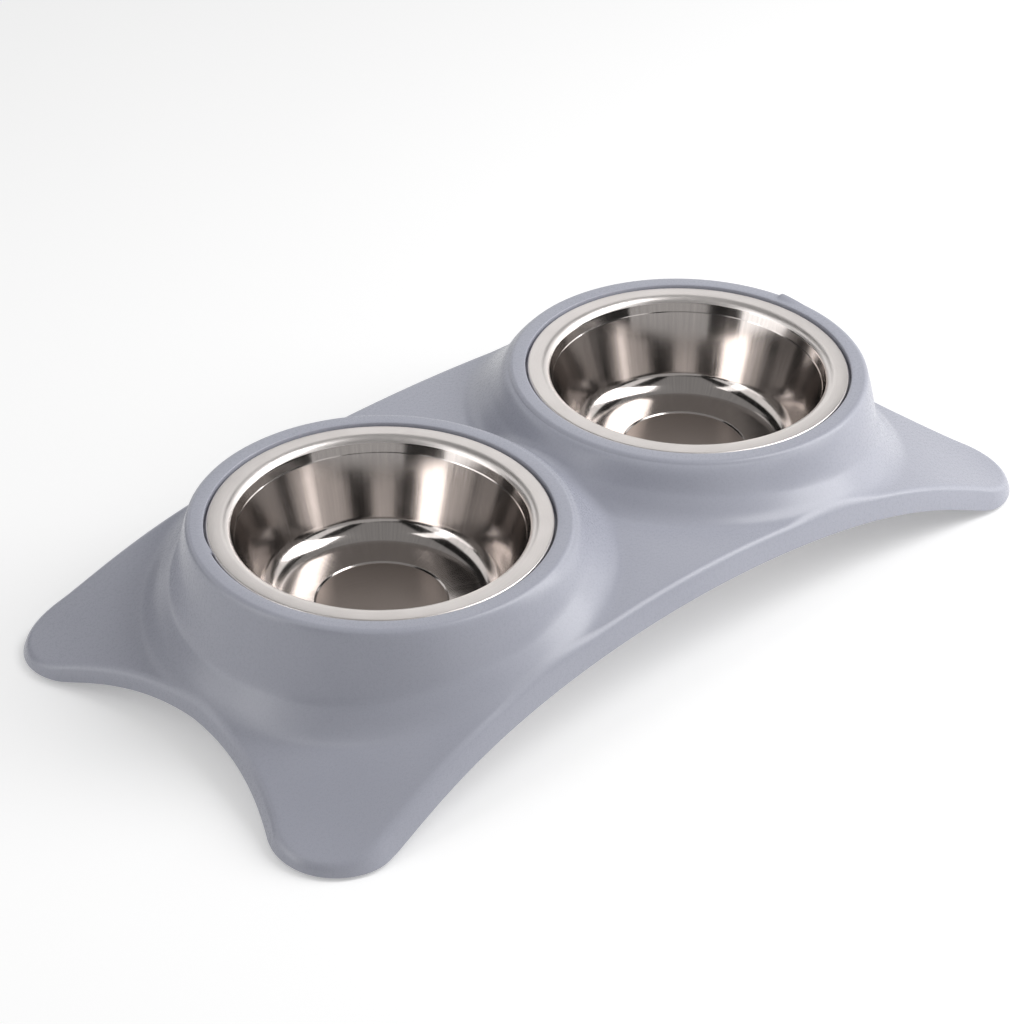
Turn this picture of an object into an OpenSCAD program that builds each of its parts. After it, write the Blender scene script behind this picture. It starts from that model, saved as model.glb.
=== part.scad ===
// Double pet bowl: an arched plastic stand with two steel bowls dropped into
// raised collars, standing on four rubber pads. Millimetres, +Z up, bowls side
// by side along X, origin on the floor under the middle of the stand.

/* [Stand outline] */
// Overall length of the stand, tip to tip
stand_l = 380.4; // [368:0.1:410]
// Overall width of the stand, tip to tip
stand_w = 195.8; // [193:0.1:215]
// Plan radius of each rounded tip
tip_r = 25.2; // [20:0.1:29]
// How far the long sides draw in between the tips
side_sag = 9; // [5:0.1:10]
// How far the short ends draw in between the tips
end_sag = 18.2; // [8:0.1:21]

/* [Stand shell] */
// Height of the collar tops above the floor
collar_h = 59.7; // [57:0.1:72]
// Wall thickness of the moulding
wall = 2.5; // [1.8:0.1:3]
// Height of the turned-down edge along the long sides
side_skirt = 9; // [7:0.1:12]
// Height of the turned-down edge at the short ends
end_skirt = 5.5; // [5:0.1:9]
// Lean of the turned-down edge out of the vertical, in degrees
skirt_lean = 22; // [10:0.5:30]
// Outside radius of the bend between the sheet and its edge
crease_r = 3; // [2.8:0.1:3.4]
// Gap between the edge and the floor at the tips
edge_gap = 1; // [0.5:0.1:1.3]
// Half length of the bend where the edge lifts off the floor
edge_ease = 3; // [1:0.1:5]
// Height of the sheet at the very end of a tip
tip_z = 5.1; // [4.8:0.1:6.5]
// Rise of the sheet from the tips to its middle
arch_rise = 37.2; // [33:0.1:40]
// Fall of the sheet from its middle to the short ends
end_fall = 23.2; // [18:0.1:25]
// Fall of the sheet from its middle to the long sides
side_fall = 0.7; // [0.2:0.1:3]
// Length over which the sheet lifts away from a tip
tip_lead = 37.7; // [30:0.1:45]

/* [Collars] */
// Distance between the centres of the two bowls
bowl_pitch = 163; // [160.5:0.5:168]
// Width of the ring on top of a collar
ring_w = 6.8; // [6:0.1:7.5]
// Radius of the outer top edge of a collar
ring_round = 2.7; // [1:0.1:3.5]
// Run of the steep cone from a collar down to its flare
cone_run = 5.5; // [4:0.1:7]
// Half length of the bend at the foot of that cone
cone_ease = 2.5; // [1.5:0.1:3.5]
// Height that the flare round a collar adds to the sheet
flare_h = 15; // [10:0.1:17]
// Run of that flare
flare_run = 15; // [12:0.1:18]
// Half length of the bend where the flare meets the sheet
flare_ease = 6; // [3:0.1:8]
// Thickness of the ledge that carries the rim of a bowl
ledge_t = 2.5; // [2:0.1:3]
// Gap all round between that ledge and the wall of the bowl
well_gap = 1.5; // [0.8:0.1:2.5]
// Length of the two moulded lugs, along their collars
lug_l = 13; // [8:0.5:18]
// Gap between the lug inside the left collar and the rim of the bowl
lug_gap = 0.3; // [0.3:0.1:0.6]
// Height of the lug on top of the right collar
lug_rise = 1.2; // [0.6:0.1:1.6]
// Width of the lug on top of the right collar
lug_w = 3.4; // [2:0.1:4]

/* [Bowls] */
// Outside diameter of the rim
bowl_d = 129; // [127:0.1:129.8]
// Gap all round between the rim and its collar
rim_gap = 0.9; // [0.9:0.1:1.2]
// How far the rim lies below the collar top
rim_drop = 0.8; // [0.3:0.1:1.5]
// Height of the rim's folded edge
hem_h = 3; // [2:0.1:3.5]
// Width of the flat, brushed part of the rim
rim_flat = 6; // [5:0.1:6.2]
// Radius of the rolled shoulder inside the rim
shoulder_r = 3.4; // [2.5:0.1:4]
// Depth of the pressed step below the rim
step_z = 5.6; // [5:0.1:8]
// Width of the pressed step
step_w = 0.5; // [0.3:0.1:0.8]
// Depth from the rim to the floor of the bowl
bowl_depth = 37; // [32:0.1:38]
// Radius between wall and floor
corner_r = 10.4; // [7:0.1:12]
// Radius of the flat floor
floor_r = 36.4; // [32:0.1:38]
// Radius of the pressed disc in the floor
disc_r = 24.7; // [15:0.1:29]
// Depth of the pressed disc
disc_z = 0.5; // [0.3:0.1:0.8]
// Thickness of the steel
steel_t = 0.8; // [0.5:0.1:0.9]

/* [Foot pads] */
// Diameter of a rubber pad
pad_d = 16; // [12:0.5:18]
// Thickness of a rubber pad
pad_h = 3; // [2.2:0.1:4]
// Bevel round the bottom of a pad
pad_bevel = 0.6; // [0.3:0.1:1]
// Gap all round between a pad and its pocket
pad_gap = 0.3; // [0.2:0.1:0.5]
// Wall of the boss round a pad
boss_wall = 2; // [1.5:0.1:2.5]
// Width of the step that a pad is glued to
boss_step = 2; // [1.5:0.1:3]

/* [Hidden] */

// Roundness of the bowls, bores and pads
$fn = 96;
// Roundness of the bosses
n_boss = 48;
// Overrun of every cut
cut = 1;

// Points along a long side, round a tip and its turn to the end, along half an end, across the middle
n_side = 12;
n_tip = 7;
n_turn = 3;
n_end = 6;
n_mid = 16;
// Steps round the bend between the sheet and its edge
n_crease = 3;

// Outline, from its tangent arcs: tip centre, waist, end and arc radii
tip_x = stand_l / 2 - tip_r;
tip_y = stand_w / 2 - tip_r;
waist_y = stand_w / 2 - side_sag;
end_x = stand_l / 2 - end_sag;
side_arc_r = (tip_x * tip_x + pow(waist_y - tip_y, 2) - tip_r * tip_r) / (2 * side_sag);
end_arc_r = (tip_y * tip_y + pow(end_x - tip_x, 2) - tip_r * tip_r) / (2 * end_sag);
side_turn = atan2(tip_x, waist_y + side_arc_r - tip_y);
end_turn = atan2(tip_y, end_x + end_arc_r - tip_x);
tip_a = [tip_x - tip_r * sin(side_turn), tip_y + tip_r * cos(side_turn)];
tip_b = [tip_x + tip_r * cos(end_turn), tip_y - tip_r * sin(end_turn)];
tip_dir = (tip_b - tip_a) / norm(tip_b - tip_a);
tip_run = tip_r * (1 - cos((90 + side_turn + end_turn) / 2));

// Collar: its bore, its ring and the top of its cone, from the bowl that it holds
bowl_x = bowl_pitch / 2;
rim_r = bowl_d / 2;
throat_r = rim_r - rim_flat - shoulder_r;
under_top_r = throat_r + steel_t;
bore_r = rim_r + rim_gap;
ring_r = bore_r + ring_w;
ring_turn = 55;
flat_r = ring_r - ring_round * sin(ring_turn);
cone_top_z = collar_h - ring_round * (1 - cos(ring_turn));
rim_z = collar_h - rim_drop;
ledge_z = rim_z - hem_h;
well_r = under_top_r + well_gap;
core_r = well_r - wall;

// One quarter of the outline: each entry is a point and the normal out of it
tip_turns = concat([90 + side_turn], [for (i = [0 : n_tip]) 90 * (1 - i / n_tip)],
                   [for (i = [1 : n_turn - 1]) -end_turn * i / n_turn]);
quarter = concat(
    [for (i = [0 : n_side - 1]) let (a = side_turn * i / n_side)
        [[side_arc_r * sin(a), waist_y + side_arc_r * (1 - cos(a))], [-sin(a), cos(a)]]],
    [for (a = tip_turns)
        [[tip_x + tip_r * cos(a), tip_y + tip_r * sin(a)], [cos(a), sin(a)]]],
    [for (i = [0 : n_end]) let (a = end_turn * (1 - i / n_end))
        [[end_x + end_arc_r * (1 - cos(a)), end_arc_r * sin(a)], [cos(a), -sin(a)]]]);
n_quarter = len(quarter) - 1;
n_edge = 2 * n_quarter;
n_ring = n_edge + n_mid;

function flip(e) = [[e[0].x, -e[0].y], [e[1].x, -e[1].y]];
half_edge = [for (i = [0 : n_edge]) i <= n_quarter ? flip(quarter[i]) : quarter[n_edge - i]];

// Height of the sheet: an arch that comes down to the four tips
function tanh(v) = 1 - 2 / (exp(2 * v) + 1);
function from_tip(p) = let (d = [tip_a.x - abs(p.x), tip_a.y - abs(p.y)])
    tip_run + d.y * tip_dir.x - d.x * tip_dir.y;
function arch(p) = arch_rise - end_fall * pow(p.x / end_x, 2) - side_fall * pow(p.y / waist_y, 2);
function sheet_z(p) = tip_z + arch(p) * tanh(from_tip(p) / tip_lead);

// Zero below and v above a soft bend of that half length
function ease(v, half) = v < -half ? 0 : v > half ? v : pow(v + half, 2) / (4 * half);

// Share of a slope that is left outside the collars, for the nearer and the farther one together
function slope(v, run, half) = v <= 0 ? 1 : min(1, ease(run - v, half) / run);
function reach(p, inset, run, half) =
    let (a = norm([p.x - bowl_x, p.y]) + inset - ring_r, b = norm([p.x + bowl_x, p.y]) + inset - ring_r)
    1 - (1 - slope(a, run, half)) * (1 - slope(b, run, half));
function flared_z(p, inset) = sheet_z(p) + flare_h * reach(p, inset, flare_run, flare_ease);
function round_drop(v, r) = v <= 0 ? 0 : r - sqrt(max(0, r * r - v * v));

// Outer and inner faces of the moulding at a place in plan
function outer_z(p) =
    let (v = norm([abs(p.x) - bowl_x, p.y]), z = flared_z(p, 0))
    v < ring_r ? collar_h - round_drop(v - flat_r, ring_round)
    : z + (cone_top_z - z) * reach(p, 0, cone_run, cone_ease);
function inner_z(p) =
    let (z = flared_z(p, wall / 2) - wall, top = ledge_z - ledge_t)
    z + (top - z) * reach(p, wall, cone_run, cone_ease);

// Height of the turned-down edge, and how far inside the outline the sheet starts to turn down
function skirt(n) = side_skirt + (end_skirt - side_skirt) * n.x * n.x;
function edge_drop(e) = let (lift = outer_z(e[0]) - edge_gap) lift - ease(lift - skirt(e[1]), edge_ease);
function crease_in(drop) =
    crease_r * cos(skirt_lean) + (drop - crease_r * (1 - sin(skirt_lean))) * tan(skirt_lean);
edge_drops = [for (e = half_edge) edge_drop(e)];

// Where the rings of points lie: shares of the ring's round, the cone, the flare and the sheet
round_shares = [0, 0.4, 0.75, 1];
cone_shares = [0.38, 0.56, 0.76, 1];
flare_shares = [0.45, 1];
sheet_shares = [0.25, 0.5, 0.75, 1];
inner_cone_shares = [0, 0.4, 0.65, 1];
inner_flare_shares = [0.5, 1];
inner_sheet_shares = [0.5, 1];
fit_share = 0.7;

function inset_edge(j, d) = half_edge[j][0] - d * half_edge[j][1];
mid_y = waist_y - crease_in(edge_drops[0]);
mid_turn = atan(mid_y / bowl_x);
function rim_point(j) = j <= n_edge ? inset_edge(j, crease_in(edge_drops[j]))
    : [0, bowl_x * tan(mid_turn * (1 - 2 * (j - n_edge) / n_mid))];

// A point on the way from the bowl's centre to the rim of the sheet
function on_ray(j, r) = let (q = rim_point(j) - [bowl_x, 0]) [bowl_x, 0] + q * r / norm(q);
function ray_l(j) = norm(rim_point(j) - [bowl_x, 0]);
function radii(j, start, cones, flares, sheets) =
    let (run = min(cone_run + cone_ease, fit_share * (ray_l(j) - start)), foot = start + run,
         wide = min(flare_run + flare_ease - run, fit_share * (ray_l(j) - foot)), last = foot + wide)
    concat([for (s = cones) start + run * s], [for (s = flares) foot + wide * s],
           [for (s = sheets) last + (ray_l(j) - last) * s]);

top_radii = [for (j = [0 : n_ring - 1])
    concat([core_r], [for (s = round_shares) flat_r + (ring_r - flat_r) * s],
           radii(j, ring_r, cone_shares, flare_shares, sheet_shares))];
under_radii = [for (j = [0 : n_ring - 1])
    concat([core_r], radii(j, ring_r - wall, inner_cone_shares, inner_flare_shares, inner_sheet_shares))];
n_top = len(top_radii[0]);
n_under = len(under_radii[0]);

// The turned-down edge: inset and drop of each row of points, outside then inside
crease_turns = [for (i = [1 : n_crease]) (90 - skirt_lean) * i / n_crease];
inner_crease_r = crease_r - wall;
function edge_rows(drop) =
    let (middle = crease_in(drop))
    concat([for (a = crease_turns) [middle - crease_r * sin(a), crease_r * (1 - cos(a))]],
           [[0, drop], [wall / cos(skirt_lean), drop]],
           [[middle - inner_crease_r * cos(skirt_lean), crease_r - inner_crease_r * sin(skirt_lean)]]);
n_rows = len(edge_rows(side_skirt));

// All rows of points of one half, from the bore over the top, round the edge and back below
function row_point(k, j) =
    k < n_top ? let (p = on_ray(j, top_radii[j][k])) [p.x, p.y, outer_z(p)]
    : k < n_top + n_rows ?
        let (i = min(j, n_edge), e = edge_rows(edge_drops[i])[k - n_top], p = inset_edge(i, e.x))
        [p.x, p.y, outer_z(p) - e.y]
    : let (p = on_ray(j, under_radii[j][n_top + n_rows + n_under - 1 - k])) [p.x, p.y, inner_z(p)];
n_all = n_top + n_rows + n_under;
half_points = [for (k = [0 : n_all - 1], j = [0 : n_ring - 1]) row_point(k, j)];

// Points on the middle line belong to both halves
function shared(k, j) = k >= n_top - 1 && k <= n_top + n_rows && (j == 0 || j >= n_edge);
function id(s, k, j) = k * n_ring + j + (s == 1 && !shared(k, j) ? n_all * n_ring : 0);
function strip(k) = k >= n_top - 1 && k < n_top + n_rows;
function wound(s, f) = s == 0 ? f : [f[0], f[2], f[1]];
shell_faces = [for (s = [0, 1], k = [0 : n_all - 1], j = [0 : (strip(k) ? n_edge : n_ring) - 1])
    let (a = id(s, k, j), b = id(s, k, (j + 1) % n_ring),
         c = id(s, (k + 1) % n_all, (j + 1) % n_ring), d = id(s, (k + 1) % n_all, j))
    each [wound(s, [a, b, c]), wound(s, [a, c, d])]];

module both_ways() {
    children();
    mirror([1, 0, 0]) children();
}

module shell() {
    polyhedron(points = concat(half_points, [for (p = half_points) [-p.x, p.y, p.z]]),
               faces = shell_faces, convexity = 8);
}

// Bore and stepped seat for one bowl
module seat() {
    translate([bowl_x, 0, ledge_z - ledge_t - cut])
        cylinder(r = well_r, h = collar_h);
    translate([bowl_x, 0, ledge_z])
        cylinder(r = bore_r, h = collar_h);
}

// Boss under a tip: a stepped tube whose top follows the slope of the sheet
pad_pocket_r = pad_d / 2 + pad_gap;
boss_r = pad_pocket_r + boss_wall;
boss_bore_r = pad_d / 2 - boss_step;
boss_at = [tip_x, tip_y];
slope_x = (sheet_z(boss_at + [wall, 0]) - sheet_z(boss_at - [wall, 0])) / (2 * wall);
slope_y = (sheet_z(boss_at + [0, wall]) - sheet_z(boss_at - [0, wall])) / (2 * wall);
boss_top_z = sheet_z(boss_at) - wall / 2;

module boss() {
    translate([tip_x, tip_y, 0])
        difference() {
            translate([0, 0, edge_gap])
                cylinder(r = boss_r, h = collar_h, $fn = n_boss);
            translate([0, 0, -cut])
                cylinder(r = pad_pocket_r, h = pad_h + cut, $fn = n_boss);
            cylinder(r = boss_bore_r, h = 2 * collar_h, $fn = n_boss);
            translate([0, 0, boss_top_z])
                rotate(a = atan(norm([slope_x, slope_y])), v = [slope_y, -slope_x, 0])
                    translate([-stand_w / 2, -stand_w / 2, 0])
                        cube([stand_w, stand_w, 2 * collar_h]);
        }
}

// Lug inside the left collar: a wedge that all but closes the gap to the rim
lug_in_turn = 153.3;
module inner_lug() {
    half = lug_l / bore_r * 90 / PI;
    from = lug_in_turn - half;
    to = lug_in_turn + half;
    root_r = bore_r + rim_gap;
    tip_share = 0.85;
    ramp = from + (to - from) * tip_share;
    translate([-bowl_x, 0, ledge_z])
        linear_extrude(collar_h - ledge_z)
            polygon([root_r * [cos(from), sin(from)], (bore_r + lug_gap) * [cos(from), sin(from)],
                     (rim_r + lug_gap) * [cos(ramp), sin(ramp)],
                     (rim_r + lug_gap) * [cos(to), sin(to)], root_r * [cos(to), sin(to)]]);
}

// Lug on top of the right collar: two ramps that meet, one along the ring and one outwards
lug_top_turn = 6.5;
module lug_ramp(l, w) {
    translate([-l / 2, 0, 0])
        rotate([90, 0, 0])
            linear_extrude(2 * w, center = true)
                polygon([[0, -ring_round], [l, -ring_round], [l, lug_rise], [0, 0]]);
}
module top_lug() {
    translate([bowl_x, 0, collar_h])
        rotate([0, 0, lug_top_turn])
            translate([ring_r - (ring_round + lug_w) / 2, 0, 0])
                intersection() {
                    lug_ramp(lug_w, lug_l / 2);
                    rotate([0, 0, 90]) lug_ramp(lug_l, lug_w);
                }
}

module stand() {
    color([0.62, 0.63, 0.70]) {
        difference() {
            union() {
                shell();
                both_ways() {
                    boss();
                    mirror([0, 1, 0]) boss();
                }
                top_lug();
            }
            both_ways() seat();
        }
        inner_lug();
    }
}

// Half section of a bowl: upper face from the rim to the middle, then the under face back
function arc(c, r, from, to, n) = [for (i = [0 : n]) let (a = from + (to - from) * i / n)
    c + r * [cos(a), sin(a)]];
n_arc = 8;
shoulder_c = [rim_r - rim_flat, -shoulder_r];
corner_c = [floor_r, corner_r - bowl_depth];
wall_top = [throat_r - step_w, -step_z - step_w];
to_wall = wall_top - corner_c;
wall_turn = atan2(to_wall.y, to_wall.x) - acos(corner_r / norm(to_wall));
wall_out = [cos(wall_turn), sin(wall_turn)];
under_corner_r = corner_r + steel_t;
wall_low = corner_c + under_corner_r * wall_out;
under_meet_z = wall_low.y - (under_top_r - wall_low.x) * wall_out.x / wall_out.y;

bowl_section = concat(
    [[rim_r, -steel_t / 2], [rim_r - steel_t / 2, 0]],
    arc(shoulder_c, shoulder_r, 90, 180, n_arc),
    [[throat_r, -step_z], wall_top],
    arc(corner_c, corner_r, wall_turn, -90, n_arc),
    [[disc_r + disc_z, -bowl_depth], [disc_r, -bowl_depth - disc_z], [0, -bowl_depth - disc_z]],
    [[0, -bowl_depth - disc_z - steel_t], [disc_r + disc_z, -bowl_depth - disc_z - steel_t]],
    [[disc_r + 2 * disc_z, -bowl_depth - steel_t]],
    arc(corner_c, under_corner_r, -90, wall_turn, n_arc),
    [[under_top_r, under_meet_z]],
    arc(shoulder_c, shoulder_r - steel_t, 180, 90, n_arc),
    [[rim_r - 2 * steel_t, -steel_t], [rim_r - 2 * steel_t, -hem_h], [rim_r, -hem_h]]);

module bowl() {
    color([0.80, 0.79, 0.78])
        translate([bowl_x, 0, rim_z])
            rotate_extrude()
                polygon(bowl_section);
}

module foot_pad(x, y) {
    color([0.16, 0.16, 0.17])
        translate([x * tip_x, y * tip_y, 0]) {
            cylinder(r1 = pad_d / 2 - pad_bevel, r2 = pad_d / 2, h = pad_bevel);
            translate([0, 0, pad_bevel])
                cylinder(r = pad_d / 2, h = pad_h - pad_bevel);
        }
}

stand();
mirror([1, 0, 0]) bowl();  // bowl_left
bowl();  // bowl_right
foot_pad(-1, -1);  // foot_pad_front_left
foot_pad(1, -1);  // foot_pad_front_right
foot_pad(-1, 1);  // foot_pad_back_left
foot_pad(1, 1);  // foot_pad_back_right
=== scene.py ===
import math

import bmesh
import bpy
from mathutils import Matrix, Vector


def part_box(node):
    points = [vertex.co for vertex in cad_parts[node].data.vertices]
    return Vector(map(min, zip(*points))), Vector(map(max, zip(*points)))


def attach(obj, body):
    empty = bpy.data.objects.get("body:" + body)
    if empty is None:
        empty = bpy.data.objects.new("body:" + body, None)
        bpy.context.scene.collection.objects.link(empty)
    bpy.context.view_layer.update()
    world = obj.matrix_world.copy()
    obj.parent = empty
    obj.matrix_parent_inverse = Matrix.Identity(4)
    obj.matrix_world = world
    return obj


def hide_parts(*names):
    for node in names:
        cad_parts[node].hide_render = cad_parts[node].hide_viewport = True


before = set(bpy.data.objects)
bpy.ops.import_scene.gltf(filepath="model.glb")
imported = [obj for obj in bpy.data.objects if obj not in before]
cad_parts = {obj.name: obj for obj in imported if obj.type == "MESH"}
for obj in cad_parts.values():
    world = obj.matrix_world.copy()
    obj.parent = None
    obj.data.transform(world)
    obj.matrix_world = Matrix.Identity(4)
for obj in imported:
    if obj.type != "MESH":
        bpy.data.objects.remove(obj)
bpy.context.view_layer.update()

bl_info = {
    "name": "Double pet bowl",
    "version": (1, 0, 0),
    "blender": (4, 5, 0),
    "location": "View3D > Sidebar > Pet bowl",
    "description": "Builds the looks of an arched feeder stand with steel bowls that lift out",
    "category": "Object",
}

STAND_LOW, STAND_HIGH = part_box("stand")
LEFT_LOW, LEFT_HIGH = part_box("bowl_left")
RIGHT_LOW, RIGHT_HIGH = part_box("bowl_right")

MM = 0.001
# Points of a mesh that are closer than this become one
WELD = 0.001 * MM


# Settings


def length(name, text, value):
    return bpy.props.FloatProperty(name=name, description=text, default=value, min=0,
                                   precision=5, unit="LENGTH", subtype="DISTANCE")


def amount(name, text, value, top=1.0):
    return bpy.props.FloatProperty(name=name, description=text, default=value, min=0, max=top)


def turn(name, text, degrees):
    return bpy.props.FloatProperty(name=name, description=text, default=math.radians(degrees),
                                   unit="ROTATION", subtype="ANGLE")


def count(name, text, value):
    return bpy.props.IntProperty(name=name, description=text, default=value, min=3)


def colour(name, text, value):
    return bpy.props.FloatVectorProperty(name=name, description=text, default=value, size=3,
                                         min=0, max=1, subtype="COLOR")


def place(name, text, value):
    return bpy.props.FloatVectorProperty(name=name, description=text, default=value, size=3,
                                         precision=5, unit="LENGTH", subtype="TRANSLATION")


class StandSettings(bpy.types.PropertyGroup):
    """Sizes of the moulded stand."""

    length: length("Length", "Overall length, tip to tip", STAND_HIGH.x - STAND_LOW.x)
    width: length("Width", "Overall width, tip to tip", STAND_HIGH.y - STAND_LOW.y)
    tip_radius: length("Tip radius", "Plan radius of each rounded tip", 25.2 * MM)
    side_sag: length("Side sag", "How far the long sides draw in", 9 * MM)
    end_sag: length("End sag", "How far the short ends draw in", 18.2 * MM)
    collar_height: length("Collar height", "Height of the collar tops", 59.7 * MM)
    wall: length("Wall", "Wall thickness of the moulding", 2.5 * MM)
    side_skirt: length("Side skirt", "Height of the turned-down edge along the sides", 9 * MM)
    end_skirt: length("End skirt", "Height of the turned-down edge at the short ends", 5.5 * MM)
    skirt_lean: turn("Skirt lean", "Lean of the turned-down edge out of the vertical", 22)
    crease: length("Crease radius", "Outside radius between the sheet and that edge", 3 * MM)
    edge_gap: length("Edge gap", "Gap between the edge and the floor at the tips", 1 * MM)
    edge_lead: length("Edge lead", "Half the bend where the edge lifts off the floor", 3 * MM)
    tip_height: length("Tip height", "Height of the sheet at the end of a tip", 5.1 * MM)
    arch_rise: length("Arch rise", "Rise of the sheet from the tips to its middle", 37.2 * MM)
    end_fall: length("End fall", "Fall of the sheet towards the short ends", 23.2 * MM)
    side_fall: length("Side fall", "Fall of the sheet towards the long sides", 0.7 * MM)
    tip_lead: length("Tip lead", "Length over which the sheet lifts from a tip", 37.7 * MM)
    ring_width: length("Ring width", "Width of the ring on top of a collar", 6.8 * MM)
    ring_round: length("Ring radius", "Radius of the outer top edge of a collar", 2.7 * MM)
    ring_turn: turn("Ring turn", "How far that edge turns before the cone starts", 55)
    cone_run: length("Cone run", "Run of the steep cone from a collar to its flare", 5.5 * MM)
    cone_ease: length("Cone foot", "Half the bend at the foot of that cone", 2 * MM)
    flare_height: length("Flare height", "Height that the flare adds to the sheet", 15 * MM)
    flare_run: length("Flare run", "Run of the flare round a collar", 15 * MM)
    flare_ease: length("Flare foot", "Half the bend where it meets the sheet", 4 * MM)
    ledge: length("Ledge", "Thickness of the ledge under a rim", 2.5 * MM)
    well_gap: length("Well gap", "Gap between that ledge and the bowl", 1.5 * MM)
    lug_length: length("Lug length", "Length of the moulded lugs", 13 * MM)
    lug_gap: length("Lug gap", "Gap between the inner lug and the rim", 0.3 * MM)
    lug_rise: length("Lug rise", "Height of the lug on the right collar", 1.2 * MM)
    lug_lead: amount("Lug lead", "Share of its length over which that lug rises", 0.85)
    lug_width: length("Lug width", "Width of the lug on the right collar", 3.4 * MM)
    lug_ramp: amount("Lug ramp", "Share of its length over which the inner lug closes in", 0.85)
    lug_bevel: length("Lug bevel", "Bevel round the top of the inner lug", 0.12 * MM)
    lug_sink: length("Lug sink", "How far under the top of a collar its lug starts", 0.05 * MM)
    inner_lug_turn: turn("Inner lug place", "Where the inner lug is on the left collar", 153.3)
    top_lug_turn: turn("Top lug place", "Where the top lug is on the right collar", 6.5)
    boss_wall: length("Boss wall", "Wall of the boss round a pad", 2 * MM)
    boss_step: length("Boss step", "Width of the step that a pad is glued to", 2 * MM)
    edge_ease: length("Moulded edge", "Small radius of the moulded edges", 0.45 * MM)


class BowlSettings(bpy.types.PropertyGroup):
    """Sizes of the steel bowls."""

    pitch: length("Pitch", "Distance between the centres of the bowls",
                  (RIGHT_LOW.x + RIGHT_HIGH.x - LEFT_LOW.x - LEFT_HIGH.x) / 2)
    diameter: length("Diameter", "Outside diameter of the rim", RIGHT_HIGH.y - RIGHT_LOW.y)
    rim_height: length("Rim height", "Height of the rim above the floor", RIGHT_HIGH.z)
    rim_gap: length("Rim gap", "Gap between the rim and its collar", 0.9 * MM)
    hem: length("Hem", "Height of the rim's folded edge", 3 * MM)
    rim_flat: length("Rim flat", "Width of the flat part of the rim", 5.2 * MM)
    shoulder: length("Shoulder radius", "Radius of the rolled shoulder", 4.2 * MM)
    satin_turn: turn("Satin turn", "How far the brushed finish goes down the shoulder", 60)
    band_lean: turn("Band lean", "Lean of the band between shoulder and step", 20)
    step_depth: length("Step depth", "Depth of the pressed step", 5.6 * MM)
    step_width: length("Step width", "Width of the pressed step", 0.5 * MM)
    step_drop: length("Step drop", "Height of the slope of that step", 0.4 * MM)
    step_round: length("Step radius", "Radius of the upper bend of that step", 0.35 * MM)
    fold_round: length("Fold radius", "Radius of its lower bend and at the disc", 0.5 * MM)
    depth: length("Depth", "Depth from the rim to the floor of the bowl", 37 * MM)
    corner: length("Corner radius", "Radius between wall and floor", 10.4 * MM)
    floor_radius: length("Floor radius", "Radius of the flat floor", 36.4 * MM)
    disc_radius: length("Disc radius", "Radius of the pressed disc", 24.7 * MM)
    disc_depth: length("Disc depth", "Depth of the pressed disc", 0.5 * MM)
    disc_slope: length("Disc slope", "Width of the sloping edge of that disc", 0.8 * MM)
    steel: length("Steel thickness", "Thickness of the steel", 0.8 * MM)
    segments: count("Segments", "Segments round a bowl", 240)


class PadSettings(bpy.types.PropertyGroup):
    """Sizes of the rubber pads."""

    diameter: length("Diameter", "Diameter of a pad", 16 * MM)
    height: length("Height", "Thickness of a pad", 3 * MM)
    bevel: length("Bevel", "Bevel round the bottom of a pad", 0.6 * MM)
    gap: length("Gap", "Gap between a pad and its pocket", 0.3 * MM)
    top_round: length("Top radius", "Radius round the top of a pad", 0.3 * MM)
    dish: length("Dish", "Depth of the shallow dish under a pad", 0.35 * MM)
    dish_round: length("Dish radius", "Radius of the bends of that dish", 0.4 * MM)
    dish_floor: amount("Dish floor", "Radius of the dish's floor as a share of the pad's", 0.52)
    dish_edge: amount("Dish edge", "Radius of the dish's edge as a share of the pad's", 0.58)
    segments: count("Segments", "Segments round a pad", 96)


class FinishSettings(bpy.types.PropertyGroup):
    """Colours and roughness of the materials."""

    plastic: colour("Plastic", "Colour of the moulded stand", (0.40, 0.41, 0.475))
    plastic_pale: colour("Plastic, pale", "Paler cloud of the plastic", (0.42, 0.43, 0.495))
    plastic_rough: amount("Plastic roughness", "Roughness of the satin plastic", 0.27)
    steel: colour("Steel", "Colour of the polished steel", (0.615, 0.57, 0.545))
    # Paler than the polished steel: the brushed rim's brightness is painted light in its colour
    steel_satin_painted_light: colour("Satin steel", "Colour of the brushed rim", (0.82, 0.775, 0.75))
    # Darker than the polished steel: the disc's dark reflection is painted shade in its colour
    steel_disc_painted_shade: colour("Disc steel", "Colour of the brushed floor disc", (0.31, 0.265, 0.24))
    rubber: colour("Rubber", "Colour of the foot pads", (0.022, 0.022, 0.024))


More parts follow.
